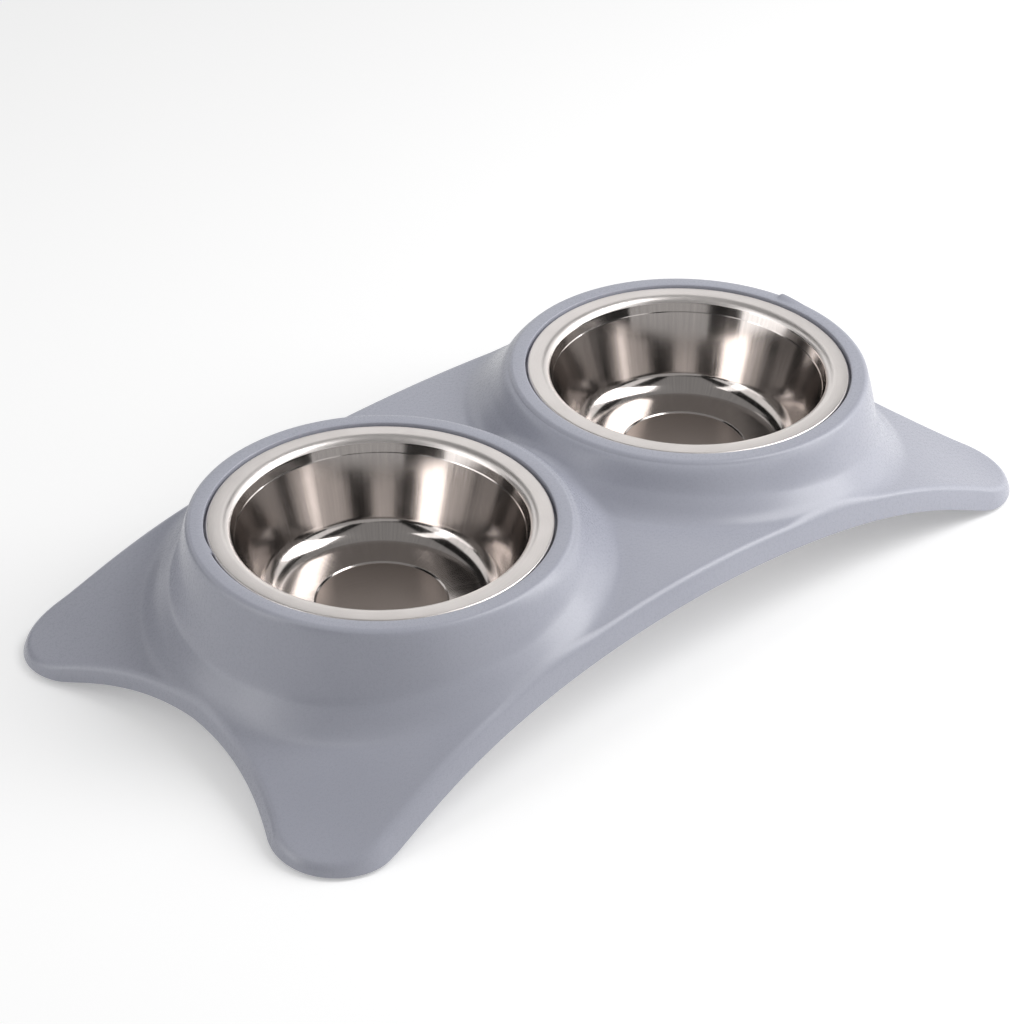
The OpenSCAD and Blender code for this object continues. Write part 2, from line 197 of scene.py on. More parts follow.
class StageSettings(bpy.types.PropertyGroup):
    """Camera, floor and light."""

    azimuth: turn("Azimuth", "Turn of the camera round the object", -43.4863)
    elevation: turn("Elevation", "Height of the camera above the horizon", 33.8498)
    roll: turn("Roll", "Tilt of the camera about its own line of sight", 0.8874)
    distance: length("Distance", "From the camera to the point it looks at", 1.087762)
    aim: place("Aim", "Point that the camera looks at", (-0.043302, -0.030244, 0.0597))
    lens: bpy.props.FloatProperty(name="Lens", description="Focal length of the camera",
                                  default=103.147, unit="CAMERA")
    floor_radius: length("Floor radius", "Radius of the floor", 6.0)
    floor_drop: length("Floor drop", "How far under the pads the floor lies", 0.2 * MM)
    floor_colour: colour("Floor", "Colour of the floor", (0.85, 0.85, 0.85))
    floor_glow: amount("Floor glow", "White that the camera sees on top of the lit floor", 0.31)
    sky: amount("Sky", "Strength of the soft light from all round", 0.38, 10)
    key: amount("Key lamp", "Power of the soft box on the right", 12.0, 1000)
    key_turn: turn("Key turn", "From the line of sight to the soft box on the right", 85)
    key_width: length("Key width", "Width of the soft box on the right", 0.6)
    key_length: length("Key length", "Length of the soft box on the right", 1.4)
    fill: amount("Fill lamp", "Power of the soft box on the left", 1.6, 1000)
    fill_turn: turn("Fill turn", "From the line of sight to the soft box on the left", 118)
    fill_width: length("Fill width", "Width of the soft box on the left", 0.22)
    fill_length: length("Fill length", "Length of the soft box on the left", 1.3)
    fill_drop: length("Fill drop", "How much lower the soft box on the left hangs", 0.1)
    lamp_height: length("Lamp height", "Height of the soft box on the right", 0.76)
    lamp_reach: length("Lamp reach", "From the object out to the soft boxes", 0.91)
    lamp_aim: length("Lamp aim", "Height of the point that the soft boxes face", 0.03)
    card_height: length("Card height", "Height of the cards overhead", 1.5)
    card_width: length("Card width", "Width of the cards overhead and behind the camera", 2.8)
    card_middle: length("Middle card", "Width of the grey card overhead", 1.5)
    card_front: length("Card front", "How far the cards overhead reach beyond the object", 1.2)
    card_depth: length("Card depth", "Depth of the two cards beyond those", 1.5)
    card_gap: length("Card gap", "Width of the white gap between these two", 1.0)
    card_far: length("Card far", "From the object to the card behind the camera", 2.5)
    card_foot: length("Card foot", "Height of the foot of the card behind the camera", 0.5)
    card_near: length("Card near", "From the object to the low cards round it", 1.2)
    card_low: length("Low cards", "Height of the low cards", 0.6)
    card_grey: amount("Grey card", "Strength of the grey card overhead", 0.30, 10)
    card_pale: amount("Pale card", "Strength of the pale card below the camera", 0.5, 10)
    card_white: amount("White card", "Strength of the low white cards", 1.8, 10)


GROUPS = {"stand": StandSettings, "bowls": BowlSettings, "pads": PadSettings,
          "finish": FinishSettings, "stage": StageSettings}


def settings(context, name):
    return getattr(context.scene, "pet_bowl_" + name)


# Mesh helpers


# Most of a leg that the rounding of its corner may take
LEG_SHARE = 0.45


def shares(steps):
    """Even shares of a run, up to the whole of it."""
    return [i / steps for i in range(1, steps + 1)]


def on_circle(centre, radius, degrees):
    a = math.radians(degrees)
    return (centre[0] + radius * math.cos(a), centre[1] + radius * math.sin(a))


def arc_points(centre, radius, start, end, steps):
    """Points of an arc, from start to end degrees, both ends included."""
    return [on_circle(centre, radius, start + (end - start) * i / steps)
            for i in range(steps + 1)]


def corner_round(before, corner, after, radius, steps=4):
    """Points that round one corner of a section."""
    c, p, q = Vector(corner), Vector(before), Vector(after)
    u, v = (p - c).normalized(), (q - c).normalized()
    half = u.angle(v) / 2
    longest = LEG_SHARE * min((p - c).length, (q - c).length)
    reach = min(radius / math.tan(half), longest)
    r = reach * math.tan(half)
    middle = c + (u + v).normalized() * (r / math.sin(half))
    a, b = c + u * reach - middle, c + v * reach - middle
    sweep = a.angle_signed(b)
    points = []
    for i in range(steps + 1):
        t = sweep * i / steps
        spun = Vector((a.x * math.cos(t) + a.y * math.sin(t),
                       -a.x * math.sin(t) + a.y * math.cos(t)))
        points.append(tuple(middle + spun))
    return points


def ease(v, half):
    """Zero below and v above a soft bend of that half length."""
    return 0 if v < -half else v if v > half else (v + half) ** 2 / (4 * half)


def bend(start, corner, end, steps=3):
    """Points of a short curve that takes a corner off."""
    points = []
    for i in range(steps + 1):
        t = i / steps
        weights = ((1 - t) ** 2, 2 * t * (1 - t), t ** 2)
        points.append(tuple(sum(w * p[axis] for w, p in zip(weights, (start, corner, end)))
                            for axis in (0, 1)))
    return points


def add_object(name, bm, at=(0, 0, 0)):
    mesh = bpy.data.meshes.new(name)
    bmesh.ops.recalc_face_normals(bm, faces=bm.faces)
    bm.to_mesh(mesh)
    bm.free()
    obj = bpy.data.objects.new(name, mesh)
    obj.location = at
    bpy.context.scene.collection.objects.link(obj)
    return obj


def smooth(obj, degrees=32):
    for polygon in obj.data.polygons:
        polygon.use_smooth = True
    obj.data.set_sharp_from_angle(angle=math.radians(degrees))


def skin_rings(bm, rings, zones=None):
    """Faces between each ring and the next, and from the last to the first.

    A ring of one vertex is a point on the axis. A zone for each ring gives the material of the
    faces that start there.
    """
    steps = max(len(ring) for ring in rings)
    for i, ring in enumerate(rings):
        other = rings[(i + 1) % len(rings)]
        if len(ring) == 1 and len(other) == 1:
            continue
        for k in range(steps):
            n = (k + 1) % steps
            if len(ring) == 1:
                corners = (ring[0], other[n], other[k])
            elif len(other) == 1:
                corners = (ring[k], ring[n], other[0])
            else:
                corners = (ring[k], ring[n], other[n], other[k])
            face = bm.faces.new(corners)
            if zones:
                face.material_index = zones[i]


def lathe(section, segments, zones=None):
    """A closed section of radius and height points, spun about the vertical axis."""
    bm = bmesh.new()
    rings = []
    for r, z in section:
        turns = [2 * math.pi * k / segments for k in range(segments if r else 1)]
        rings.append([bm.verts.new((r * math.cos(a), r * math.sin(a), z)) for a in turns])
    skin_rings(bm, rings, zones)
    return bm


# Shape of the stand


class StandForm:
    """Outline and heights of the moulding, worked out from its sizes."""

    # Steps of the outline: long side, start, middle and end of a tip, short end, and the line
    # between the collars
    SIDE, LEAD, TIP, TURN, END, MIDDLE = 40, 2, 20, 6, 20, 48
    # Rows of the shell: top edge of a collar, cone, flare, sheet, crease and its inside
    RING, CONE, FLARE, SHEET, CREASE, INSIDE = 8, 16, 12, 10, 8, 4
    # Most of what is left of a ray that one slope may take
    SLOPE_SHARE = 0.7
    # How far in from the corner the middle of a small rounding lies, as a share of its radius
    ROUND_SHARE = 0.3

    def __init__(self, stand, bowls):
        self.s = s = stand
        self.bowl_x = bowls.pitch / 2
        self.rim_r = bowls.diameter / 2
        self.bore_r = self.rim_r + bowls.rim_gap
        self.ring_r = self.bore_r + s.ring_width
        self.flat_r = self.ring_r - s.ring_round * math.sin(s.ring_turn)
        self.cone_top = s.collar_height - s.ring_round * (1 - math.cos(s.ring_turn))
        throat = self.rim_r - bowls.rim_flat - bowls.shoulder
        self.well_r = throat + bowls.steel + s.well_gap
        self.ledge_z = bowls.rim_height - bowls.hem
        self.tip_x = s.length / 2 - s.tip_radius
        self.tip_y = s.width / 2 - s.tip_radius
        self.waist_y = s.width / 2 - s.side_sag
        self.end_x = s.length / 2 - s.end_sag
        tip_r = s.tip_radius
        self.side_r = ((self.tip_x ** 2 + (self.waist_y - self.tip_y) ** 2 - tip_r ** 2)
                       / (2 * s.side_sag))
        self.end_r = ((self.tip_y ** 2 + (self.end_x - self.tip_x) ** 2 - tip_r ** 2)
                      / (2 * s.end_sag))
        self.side_turn = math.atan2(self.tip_x, self.waist_y + self.side_r - self.tip_y)
        self.end_turn = math.atan2(self.tip_y, self.end_x + self.end_r - self.tip_x)
        self.tip_a = Vector((self.tip_x - tip_r * math.sin(self.side_turn),
                             self.tip_y + tip_r * math.cos(self.side_turn)))
        tip_b = Vector((self.tip_x + tip_r * math.cos(self.end_turn),
                        self.tip_y - tip_r * math.sin(self.end_turn)))
        self.tip_dir = (tip_b - self.tip_a).normalized()
        half_turn = (math.pi / 2 + self.side_turn + self.end_turn) / 2
        self.tip_run = tip_r * (1 - math.cos(half_turn))
        self.edge = self.half_outline()
        self.n_edge = len(self.edge) - 1
        self.drops = [self.edge_drop(p, n) for p, n in self.edge]
        self.mid_turn = math.atan((self.waist_y - self.crease_in(self.drops[0])) / self.bowl_x)

    def quarter_outline(self):
        """Points and normals from the middle of a long side to the middle of an end."""
        tip_r = self.s.tip_radius
        points = []
        for i in range(self.SIDE):
            a = self.side_turn * i / self.SIDE
            points.append((Vector((self.side_r * math.sin(a),
                                   self.waist_y + self.side_r * (1 - math.cos(a)))),
                           Vector((-math.sin(a), math.cos(a)))))
        quarter = math.pi / 2
        turns = [quarter + self.side_turn * (1 - i / self.LEAD) for i in range(self.LEAD)]
        turns += [quarter * (1 - i / self.TIP) for i in range(self.TIP + 1)]
        turns += [-self.end_turn * i / self.TURN for i in range(1, self.TURN)]
        for a in turns:
            points.append((Vector((self.tip_x + tip_r * math.cos(a),
                                   self.tip_y + tip_r * math.sin(a))),
                           Vector((math.cos(a), math.sin(a)))))
        for i in range(self.END + 1):
            a = self.end_turn * (1 - i / self.END)
            points.append((Vector((self.end_x + self.end_r * (1 - math.cos(a)),
                                   self.end_r * math.sin(a))),
                           Vector((math.cos(a), -math.sin(a)))))
        return points

    def half_outline(self):
        """From the front middle round the right end to the back middle."""
        quarter = self.quarter_outline()
        front = [(Vector((p.x, -p.y)), Vector((n.x, -n.y))) for p, n in quarter]
        return front + quarter[-2::-1]

    def from_tip(self, p):
        """Distance of a place from the end of its tip."""
        d = Vector((self.tip_a.x - abs(p.x), self.tip_a.y - abs(p.y)))
        return self.tip_run + d.y * self.tip_dir.x - d.x * self.tip_dir.y

    def sheet_z(self, p):
        """Height of the sheet: an arch that comes down to the four tips."""
        s = self.s
        arch = (s.arch_rise - s.end_fall * (p.x / self.end_x) ** 2
                - s.side_fall * (p.y / self.waist_y) ** 2)
        return s.tip_height + arch * math.tanh(self.from_tip(p) / s.tip_lead)

    def reach(self, p, inset, run, half):
        """Share of a slope that is left at a place, for both collars together."""
        rest = 1
        for x in (-self.bowl_x, self.bowl_x):
            v = math.hypot(p.x - x, p.y) + inset - self.ring_r
            rest *= 1 - (1 if v <= 0 else min(1, ease(run - v, half) / run))
        return 1 - rest

    def flared_z(self, p, inset):
        """Height of the sheet with the flare round each collar."""
        s = self.s
        return self.sheet_z(p) + s.flare_height * self.reach(p, inset, s.flare_run,
                                                             s.flare_ease)

    def outer_z(self, p):
        s = self.s
        v = math.hypot(abs(p.x) - self.bowl_x, p.y)
        if v < self.ring_r:
            past = v - self.flat_r
            drop = 0 if past <= 0 else s.ring_round - math.sqrt(
                max(0, s.ring_round ** 2 - past ** 2))
            return s.collar_height - drop
        z = self.flared_z(p, 0)
        return z + (self.cone_top - z) * self.reach(p, 0, s.cone_run, s.cone_ease)

    def inner_z(self, p):
        s = self.s
        z = self.flared_z(p, s.wall / 2) - s.wall
        top = self.ledge_z - s.ledge
        return z + (top - z) * self.reach(p, s.wall, s.cone_run, s.cone_ease)

    def edge_drop(self, p, n):
        """Height of the turned-down edge at a place on the outline with normal n."""
        s = self.s
        skirt = s.side_skirt + (s.end_skirt - s.side_skirt) * n.x ** 2
        lift = self.outer_z(p) - s.edge_gap
        return lift - ease(lift - skirt, s.edge_lead)

    def crease_in(self, drop):
        """How far inside the outline the sheet starts to turn down."""
        s = self.s
        return (s.crease * math.cos(s.skirt_lean)
                + (drop - s.crease * (1 - math.sin(s.skirt_lean))) * math.tan(s.skirt_lean))

    def inset_edge(self, j, d):
        p, n = self.edge[j]
        return p - n * d

    def rim_point(self, j):
        """Where ray j from the bowl's centre leaves the sheet."""
        if j <= self.n_edge:
            return self.inset_edge(j, self.crease_in(self.drops[j]))
        t = 1 - 2 * (j - self.n_edge) / self.MIDDLE
        return Vector((0, self.bowl_x * math.tan(self.mid_turn * t)))

    def edge_rows(self, low):
        """Inset and drop of the turned-down edge, from the sheet over the rim to its inside."""
        s = self.s
        e, lean = s.edge_ease, s.skirt_lean
        middle = self.crease_in(low)
        foot = s.wall / math.cos(lean)
        inside = max(s.crease - s.wall, e)
        end = math.pi / 2 - lean
        rows = [(middle - s.crease * math.sin(end * t), s.crease * (1 - math.cos(end * t)))
                for t in shares(self.CREASE)]
        rows += bend((e * math.tan(lean), low - e), (0, low), (e, low))
        rows += bend((foot - e, low), (foot, low), (foot + e * math.tan(lean), low - e))
        for i in range(self.INSIDE):
            a = lean + end * i / self.INSIDE
            rows.append((middle - inside * math.cos(a), s.wall + inside * (1 - math.sin(a))))
        return rows

    def seat_rows(self):
        """Radius and height of the ledge under a rim and of the bore above it."""
        e, top = self.s.edge_ease, self.s.collar_height
        middle = e * self.ROUND_SHARE
        rows = [(self.well_r, self.ledge_z - self.s.ledge), (self.well_r, self.ledge_z - e),
                (self.well_r + middle, self.ledge_z - middle), (self.well_r + e, self.ledge_z),
                (self.bore_r, self.ledge_z)]
        return rows + arc_points((self.bore_r + e, top - e), e, 180, 90, steps=3)

    def ring_radii(self):
        """Radii of the rows on top of a collar."""
        s = self.s
        return ([(self.bore_r + self.flat_r) / 2, self.flat_r]
                + [self.flat_r + s.ring_round * math.sin(s.ring_turn * t)
                   for t in shares(self.RING)])

    def slope_radii(self, start, far):
        """Radii of the rows on the cone, the flare and the sheet, out to the rim."""
        s = self.s
        run = min(s.cone_run + s.cone_ease, self.SLOPE_SHARE * (far - start))
        foot = start + run
        wide = min(s.flare_run + s.flare_ease - run, self.SLOPE_SHARE * (far - foot))
        rest = far - foot - wide
        return ([start + run * t for t in shares(self.CONE)]
                + [foot + wide * t for t in shares(self.FLARE)]
                + [foot + wide + rest * t for t in shares(self.SHEET)])

    def section(self, j):
        """Points along ray j: the top from the ledge to the rim, the edge, and the underside."""
        centre = Vector((self.bowl_x, 0))
        to_rim = self.rim_point(j) - centre
        far = to_rim.length
        way = to_rim / far
        top = [(*(centre + way * r), z) for r, z in self.seat_rows()]
        for r in self.ring_radii() + self.slope_radii(self.ring_r, far):
            p = centre + way * r
            top.append((*p, self.outer_z(p)))
        edge = []
        place_on_edge = min(j, self.n_edge)
        for inset, drop in self.edge_rows(self.drops[place_on_edge]):
            p = self.inset_edge(place_on_edge, inset)
            edge.append((*p, self.outer_z(p) - drop))
        under = []
        start = self.ring_r - self.s.wall
        for r in [*reversed(self.slope_radii(start, far)), start]:
            p = centre + way * r
            under.append((*p, self.inner_z(p)))
        return top, edge, under

    def build(self):
        """Half a shell of quads round the right bowl, mirrored and joined at the middle."""
        sections = [self.section(j) for j in range(self.n_edge + self.MIDDLE)]
        n_top, n_edge_rows = len(sections[0][0]), len(sections[0][1])
        n_strip = n_top + n_edge_rows
        columns = [top + edge + under for top, edge, under in sections]
        n_rows, n_rays = len(columns[0]), len(columns)
        bm = bmesh.new()
        for side in (1, -1):
            grid = [[None] * n_rows for _ in range(n_rays)]
            for j, column in enumerate(columns):
                for k, (x, y, z) in enumerate(column):
                    if n_top <= k < n_strip and j > self.n_edge:
                        continue
                    grid[j][k] = bm.verts.new((side * x, y, z))
            for j in range(n_rays):
                n = (j + 1) % n_rays
                for k in range(n_rows):
                    m = (k + 1) % n_rows
                    if n_top - 1 <= k < n_strip and j >= self.n_edge:
                        continue
                    corners = [grid[j][k], grid[n][k], grid[n][m], grid[j][m]]
                    if side < 0:
                        corners.reverse()
                    bm.faces.new(corners)
        bmesh.ops.remove_doubles(bm, verts=bm.verts, dist=2 * WELD)
        return bm


def boss_mesh(form, pads, x_side, y_side):
    """Stepped tube round a pad, whose top follows the middle of the sheet."""
    s = form.s
    pocket = pads.diameter / 2 + pads.gap
    outer = pocket + s.boss_wall
    bore = pads.diameter / 2 - s.boss_step
    e = s.edge_ease / 2
    section = [(bore, None), (bore, pads.height), (pocket, pads.height),
               (pocket, s.edge_gap + e), (pocket + e, s.edge_gap), (outer - e, s.edge_gap),
               (outer, s.edge_gap + e), (outer, None)]
    bm = bmesh.new()
    rings = []
    steps = 64
    for r, z in section:
        ring = []
        for k in range(steps):
            a = 2 * math.pi * k / steps
            p = Vector((x_side * (form.tip_x + r * math.cos(a)),
                        y_side * (form.tip_y + r * math.sin(a))))
            ring.append(bm.verts.new((*p, form.sheet_z(p) - s.wall / 2 if z is None else z)))
        rings.append(ring)
    skin_rings(bm, rings)
    return bm


def prism(points, low, high, bevel):
    """An upright prism of plan points, with its top edges eased."""
    bm = bmesh.new()
    bottom = [bm.verts.new((*p, low)) for p in points]
    top = [bm.verts.new((*p, high)) for p in points]
    bm.faces.new(bottom[::-1])
    bm.faces.new(top)
    for i in range(len(points)):
        n = (i + 1) % len(points)
        bm.faces.new((bottom[i], bottom[n], top[n], top[i]))
    edges = [e for e in bm.edges if all(v in top for v in e.verts)]
    bmesh.ops.bevel(bm, geom=edges, offset=bevel, segments=2, profile=0.5, affect="EDGES")
    return bm


def inner_lug_mesh(form):
    """Wedge inside the left collar that all but closes the gap to the rim."""
    s = form.s
    half = s.lug_length / form.bore_r / 2
    start, end = s.inner_lug_turn - half, s.inner_lug_turn + half
    ramp = (end - start) * s.lug_ramp
    low = form.bore_r + s.lug_gap
    face = form.rim_r + s.lug_gap
    root = form.bore_r + 2 * s.edge_ease
    steps = 8
    inside = [(start, low)]
    inside += [(start + ramp * t, low + (face - low) * t) for t in shares(steps)]
    inside.append((end, face))
    outside = [(end - (end - start) * i / steps, root) for i in range(steps + 1)]
    points = [(-form.bowl_x + r * math.cos(a), r * math.sin(a)) for a, r in inside + outside]
    return prism(points, form.ledge_z - s.edge_ease, s.collar_height - s.lug_sink, s.lug_bevel)


def top_lug_mesh(form):
    """Low lug on the right collar that rises along the ring and outwards."""
    s = form.s
    bm = bmesh.new()
    inner = form.ring_r - s.ring_round / 2 - s.lug_width
    half = s.lug_length / form.ring_r / 2
    sunk = s.collar_height - s.ring_round
    steps, across = 20, 5
    rows = []
    for i in range(steps + 1):
        along = i / steps
        a = s.top_lug_turn - half + 2 * half * along
        rise = s.lug_rise * min(along / s.lug_lead, 1)
        if along > s.lug_lead:
            rise *= math.sin(math.pi / 2 * (1 - along) / (1 - s.lug_lead))
        row = [(inner, sunk)]
        for k in range(across + 1):
            t = k / across
            row.append((inner + s.lug_width * t,
                        s.collar_height - s.lug_sink + rise * math.sin(math.pi / 2 * t)))
        row.append((inner + s.lug_width, sunk))
        rows.append([bm.verts.new((form.bowl_x + math.cos(a) * r, math.sin(a) * r, h))
                     for r, h in row])
    for a, b in zip(rows, rows[1:]):
        for k in range(len(a)):
            n = (k + 1) % len(a)
            bm.faces.new((a[k], b[k], b[n], a[n]))
    bm.faces.new(rows[0])
    bm.faces.new(rows[-1][::-1])
    return bm


def drop_slivers(mesh):
    """Splits the many-sided faces, and drops the pairs of slivers that lie back to back."""
    bm = bmesh.new()
    bm.from_mesh(mesh)
    bmesh.ops.remove_doubles(bm, verts=bm.verts, dist=WELD)
    bmesh.ops.triangulate(bm, faces=[face for face in bm.faces if len(face.verts) > 4])
    alike = {}
    for face in bm.faces:
        alike.setdefault(frozenset(face.verts), []).append(face)
    twins = [face for faces in alike.values() if len(faces) > 1 for face in faces]
    bmesh.ops.delete(bm, geom=twins, context="FACES")
    bm.to_mesh(mesh)
    bm.free()


def join_solids(base, others):
    """Unites the solids with the base, and keeps the result as its mesh."""
    for other in others:
        step = base.modifiers.new("union", "BOOLEAN")
        step.operation = "UNION"
        step.solver = "EXACT"
        step.object = other
    graph = bpy.context.evaluated_depsgraph_get()
    united = bpy.data.meshes.new_from_object(base.evaluated_get(graph))
    base.modifiers.clear()
    drop_slivers(united)
    base.data = united
    for other in others:
        bpy.data.objects.remove(other)


# Shape of a bowl and a pad


# Zones of a bowl, in the order of its materials
RIM, WALL, DISC = 0, 1, 2
# Radii of the points on the flat of the disc, as shares of the disc's
DISC_SHARES = (0.66, 0.33, 0)
# Radius of the point on the flat of a pad's dish, as a share of the pad's
DISH_SHARE = 0.45


def bowl_section(bowls):
    """Closed section of a pressed bowl about its axis, from the rim, and the zone of each part."""
    rim = bowls.diameter / 2
    t = bowls.steel
    throat = rim - bowls.rim_flat - bowls.shoulder
    shoulder = (rim - bowls.rim_flat, -bowls.shoulder)
    corner = (bowls.floor_radius, bowls.corner - bowls.depth)
    round_end = 180 - math.degrees(bowls.band_lean)
    satin_end = 90 + math.degrees(bowls.satin_turn)
    polish_start = satin_end + 2
    band_top = on_circle(shoulder, bowls.shoulder, round_end)
    band_foot = (band_top[0] - (band_top[1] + bowls.step_depth) * math.tan(bowls.band_lean),
                 -bowls.step_depth)
    wall_top = (band_foot[0] - bowls.step_width / 2, band_foot[1] - bowls.step_drop)
    lean = Vector(wall_top) - Vector(corner)
    wall_turn = math.degrees(math.atan2(lean.y, lean.x)
                             - math.acos(bowls.corner / lean.length))
    out = Vector(on_circle((0, 0), 1, wall_turn))
    under_r = bowls.corner + t
    wall_low = Vector(corner) + under_r * out
    under_top = throat + t
    meet = wall_low.y - (under_top - wall_low.x) * out.x / out.y
    wall_foot = tuple(Vector(corner) + bowls.corner * out)
    d, z = bowls.disc_radius, -bowls.depth
    low = z - bowls.disc_depth
    slope_top = (d + bowls.disc_slope, z)
    bend_round, fold_round = bowls.step_round, bowls.fold_round
    parts = [
        (RIM, [(rim, -bowls.hem + t / 2), (rim, -t)]),
        (RIM, arc_points((rim - t, -t), t, 15, 90, steps=5)),
        (RIM, [(shoulder[0] + bowls.rim_flat / 3, 0)]),
        (RIM, arc_points(shoulder, bowls.shoulder, 90, satin_end, steps=11)),
        (WALL, arc_points(shoulder, bowls.shoulder, polish_start, round_end, steps=3)),
        (WALL, corner_round(band_top, band_foot, wall_top, bend_round, steps=3)),
        (WALL, corner_round(band_foot, wall_top, wall_foot, fold_round, steps=3)),
        (WALL, arc_points(corner, bowls.corner, wall_turn, -90, steps=16)),
        (WALL, corner_round((bowls.floor_radius, z), slope_top, (d, low), fold_round)),
        (DISC, corner_round(slope_top, (d, low), (0, low), fold_round)),
        (DISC, [(d * share, low) for share in DISC_SHARES]),
        (RIM, [(0, low - t), (d / 2, low - t)]),
        (RIM, [(d + bowls.disc_depth, low - t), (d + 2 * bowls.disc_depth, z - t)]),
        (RIM, arc_points(corner, under_r, -90, wall_turn, steps=14)),
        (RIM, [(under_top, meet)]),
        (RIM, arc_points(shoulder, bowls.shoulder - t, 180, 90, steps=8)),
        (RIM, [(rim - 2 * t, -t), (rim - 2 * t, -bowls.hem + t / 2)]),
        (RIM, arc_points((rim - t, -bowls.hem + t), t, 195, 345, steps=8)),
    ]
    section, zones = [], []
    for zone, points in parts:
        section += points
        zones += [zone] * len(points)
    return section, zones


def pad_section(pads):
    """Section of a rubber pad: shallow dish under it, rounded foot, flat glued top."""
    r, h, b = pads.diameter / 2, pads.height, pads.bevel
    floor_end, dish_end = (r * pads.dish_floor, pads.dish), (r * pads.dish_edge, 0)
    return ([(0, pads.dish), (r * DISH_SHARE, pads.dish)]
            + corner_round((0, pads.dish), floor_end, dish_end, pads.dish_round, steps=3)
            + corner_round(floor_end, dish_end, (r - b, 0), pads.dish_round, steps=3)
            + arc_points((r - b, b), b, -90, 0, steps=6)
            + corner_round((r, b), (r, h), (0, h), pads.top_round, steps=3)
            + [(0, h)])


# Materials


# Range in which most of a noise lies, and a narrower and a wider one
NOISE, CORE_NOISE, WIDE_NOISE = (0.3, 0.7), (0.35, 0.65), (0.25, 0.75)
WHITE, BLACK = (1, 1, 1, 1), (0, 0, 0, 1)


def node_group(name, inputs, outputs):
    """An empty shader group with its sockets."""
    group = bpy.data.node_groups.new(name, "ShaderNodeTree")
    for label, kind, value in inputs:
        socket = group.interface.new_socket(label, in_out="INPUT", socket_type=kind)
        if value is not None:
            socket.default_value = value
    for label, kind in outputs:
        group.interface.new_socket(label, in_out="OUTPUT", socket_type=kind)
    return group


class Tree:
    """Short calls that add and link the nodes of a tree."""

    def __init__(self, tree):
        self.tree = tree
        self.column = 0

    def add(self, kind, options=None, **inputs):
        node = self.tree.nodes.new(kind)
        node.location = (180 * self.column, -120 * (self.column % 3))
        self.column += 1
        for key, value in (options or {}).items():
            setattr(node, key, value)
        for key, value in inputs.items():
            self.feed(node.inputs[key.replace("_", " ")], value)
        return node

    def feed(self, socket, value):
        if isinstance(value, bpy.types.NodeSocket):
            self.tree.links.new(value, socket)
        else:
            socket.default_value = value

    def math(self, operation, *values):
        node = self.add("ShaderNodeMath", {"operation": operation})
        for socket, value in zip(node.inputs, values):
            self.feed(socket, value)
        return node.outputs[0]

    def vector(self, operation, *values):
        node = self.add("ShaderNodeVectorMath", {"operation": operation})
        for socket, value in zip(node.inputs, values):
            self.feed(socket, value)
        return node.outputs["Value" if operation == "LENGTH" else "Vector"]

    def scaled(self, vector, factor):
        node = self.add("ShaderNodeVectorMath", {"operation": "SCALE"}, Scale=factor)
        self.feed(node.inputs[0], vector)
        return node.outputs["Vector"]

    def noise(self, vector, scale, detail, rough):
        node = self.add("ShaderNodeTexNoise", Vector=vector, Scale=scale, Detail=detail,
                        Roughness=rough)
        return node.outputs["Fac"]

    def span(self, value, low, high, to_low, to_high, smooth_step=False):
        node = self.add("ShaderNodeMapRange",
                        {"interpolation_type": "SMOOTHSTEP" if smooth_step else "LINEAR"})
        for socket, v in zip(node.inputs, (value, low, high, to_low, to_high)):
            self.feed(socket, v)
        return node.outputs[0]

    def mix(self, share, a, b):
        node = self.add("ShaderNodeMix", {"data_type": "RGBA"})
        self.feed(node.inputs[0], share)
        self.feed(node.inputs[6], a)
        self.feed(node.inputs[7], b)
        return node.outputs[2]

    def group(self, group, **inputs):
        return self.add("ShaderNodeGroup", {"node_tree": group}, **inputs)

    def seen(self):
        """One for rays that show the background: camera, glossy and transmission rays."""
        path = self.add("ShaderNodeLightPath").outputs
        return self.math("MAXIMUM", path["Is Camera Ray"],
                         self.math("MAXIMUM", path["Is Glossy Ray"],
                                   path["Is Transmission Ray"]))

    def blend(self, kind, first, second, share=None):
        """Mixes or adds two shaders."""
        node = self.add(kind)
        low, high = node.inputs[-2:]
        self.tree.links.new(first.outputs[0], low)
        self.tree.links.new(second.outputs[0], high)
        if share is not None:
            self.feed(node.inputs[0], share)
        return node

    def finish(self, shader, kind="ShaderNodeOutputMaterial"):
        out = self.add(kind)
        self.tree.links.new(shader.outputs[0], out.inputs["Surface"])


def rgb(value, shade=1.0):
    """Colour for a socket, shaded by that factor."""
    return (*(shade * c for c in value), 1.0)


def grain_group():
    """Fine moulded grain with soft clouds: a height and a cloud mask."""
    name = "Fine grain"
    if name in bpy.data.node_groups:
        return bpy.data.node_groups[name]
    group = node_group(name, [("Place", "NodeSocketVector", None),
                              ("Grain", "NodeSocketFloat", 2600.0),
                              ("Cloud", "NodeSocketFloat", 14.0)],
                       [("Height", "NodeSocketFloat"), ("Clouds", "NodeSocketFloat")])
    t = Tree(group)
    source = t.add("NodeGroupInput")
    place_out, grain = source.outputs["Place"], source.outputs["Grain"]
    fine = t.noise(place_out, grain, detail=3, rough=0.6)
    coarse = t.noise(place_out, t.math("MULTIPLY", grain, 0.31), detail=2, rough=0.5)
    height = t.math("ADD", t.math("MULTIPLY", fine, 0.65), t.math("MULTIPLY", coarse, 0.35))
    clouds = t.noise(place_out, source.outputs["Cloud"], detail=4, rough=0.55)
    t.add("NodeGroupOutput", Height=height,
          Clouds=t.span(clouds, *CORE_NOISE, 0.0, 1.0, smooth_step=True))
    return group


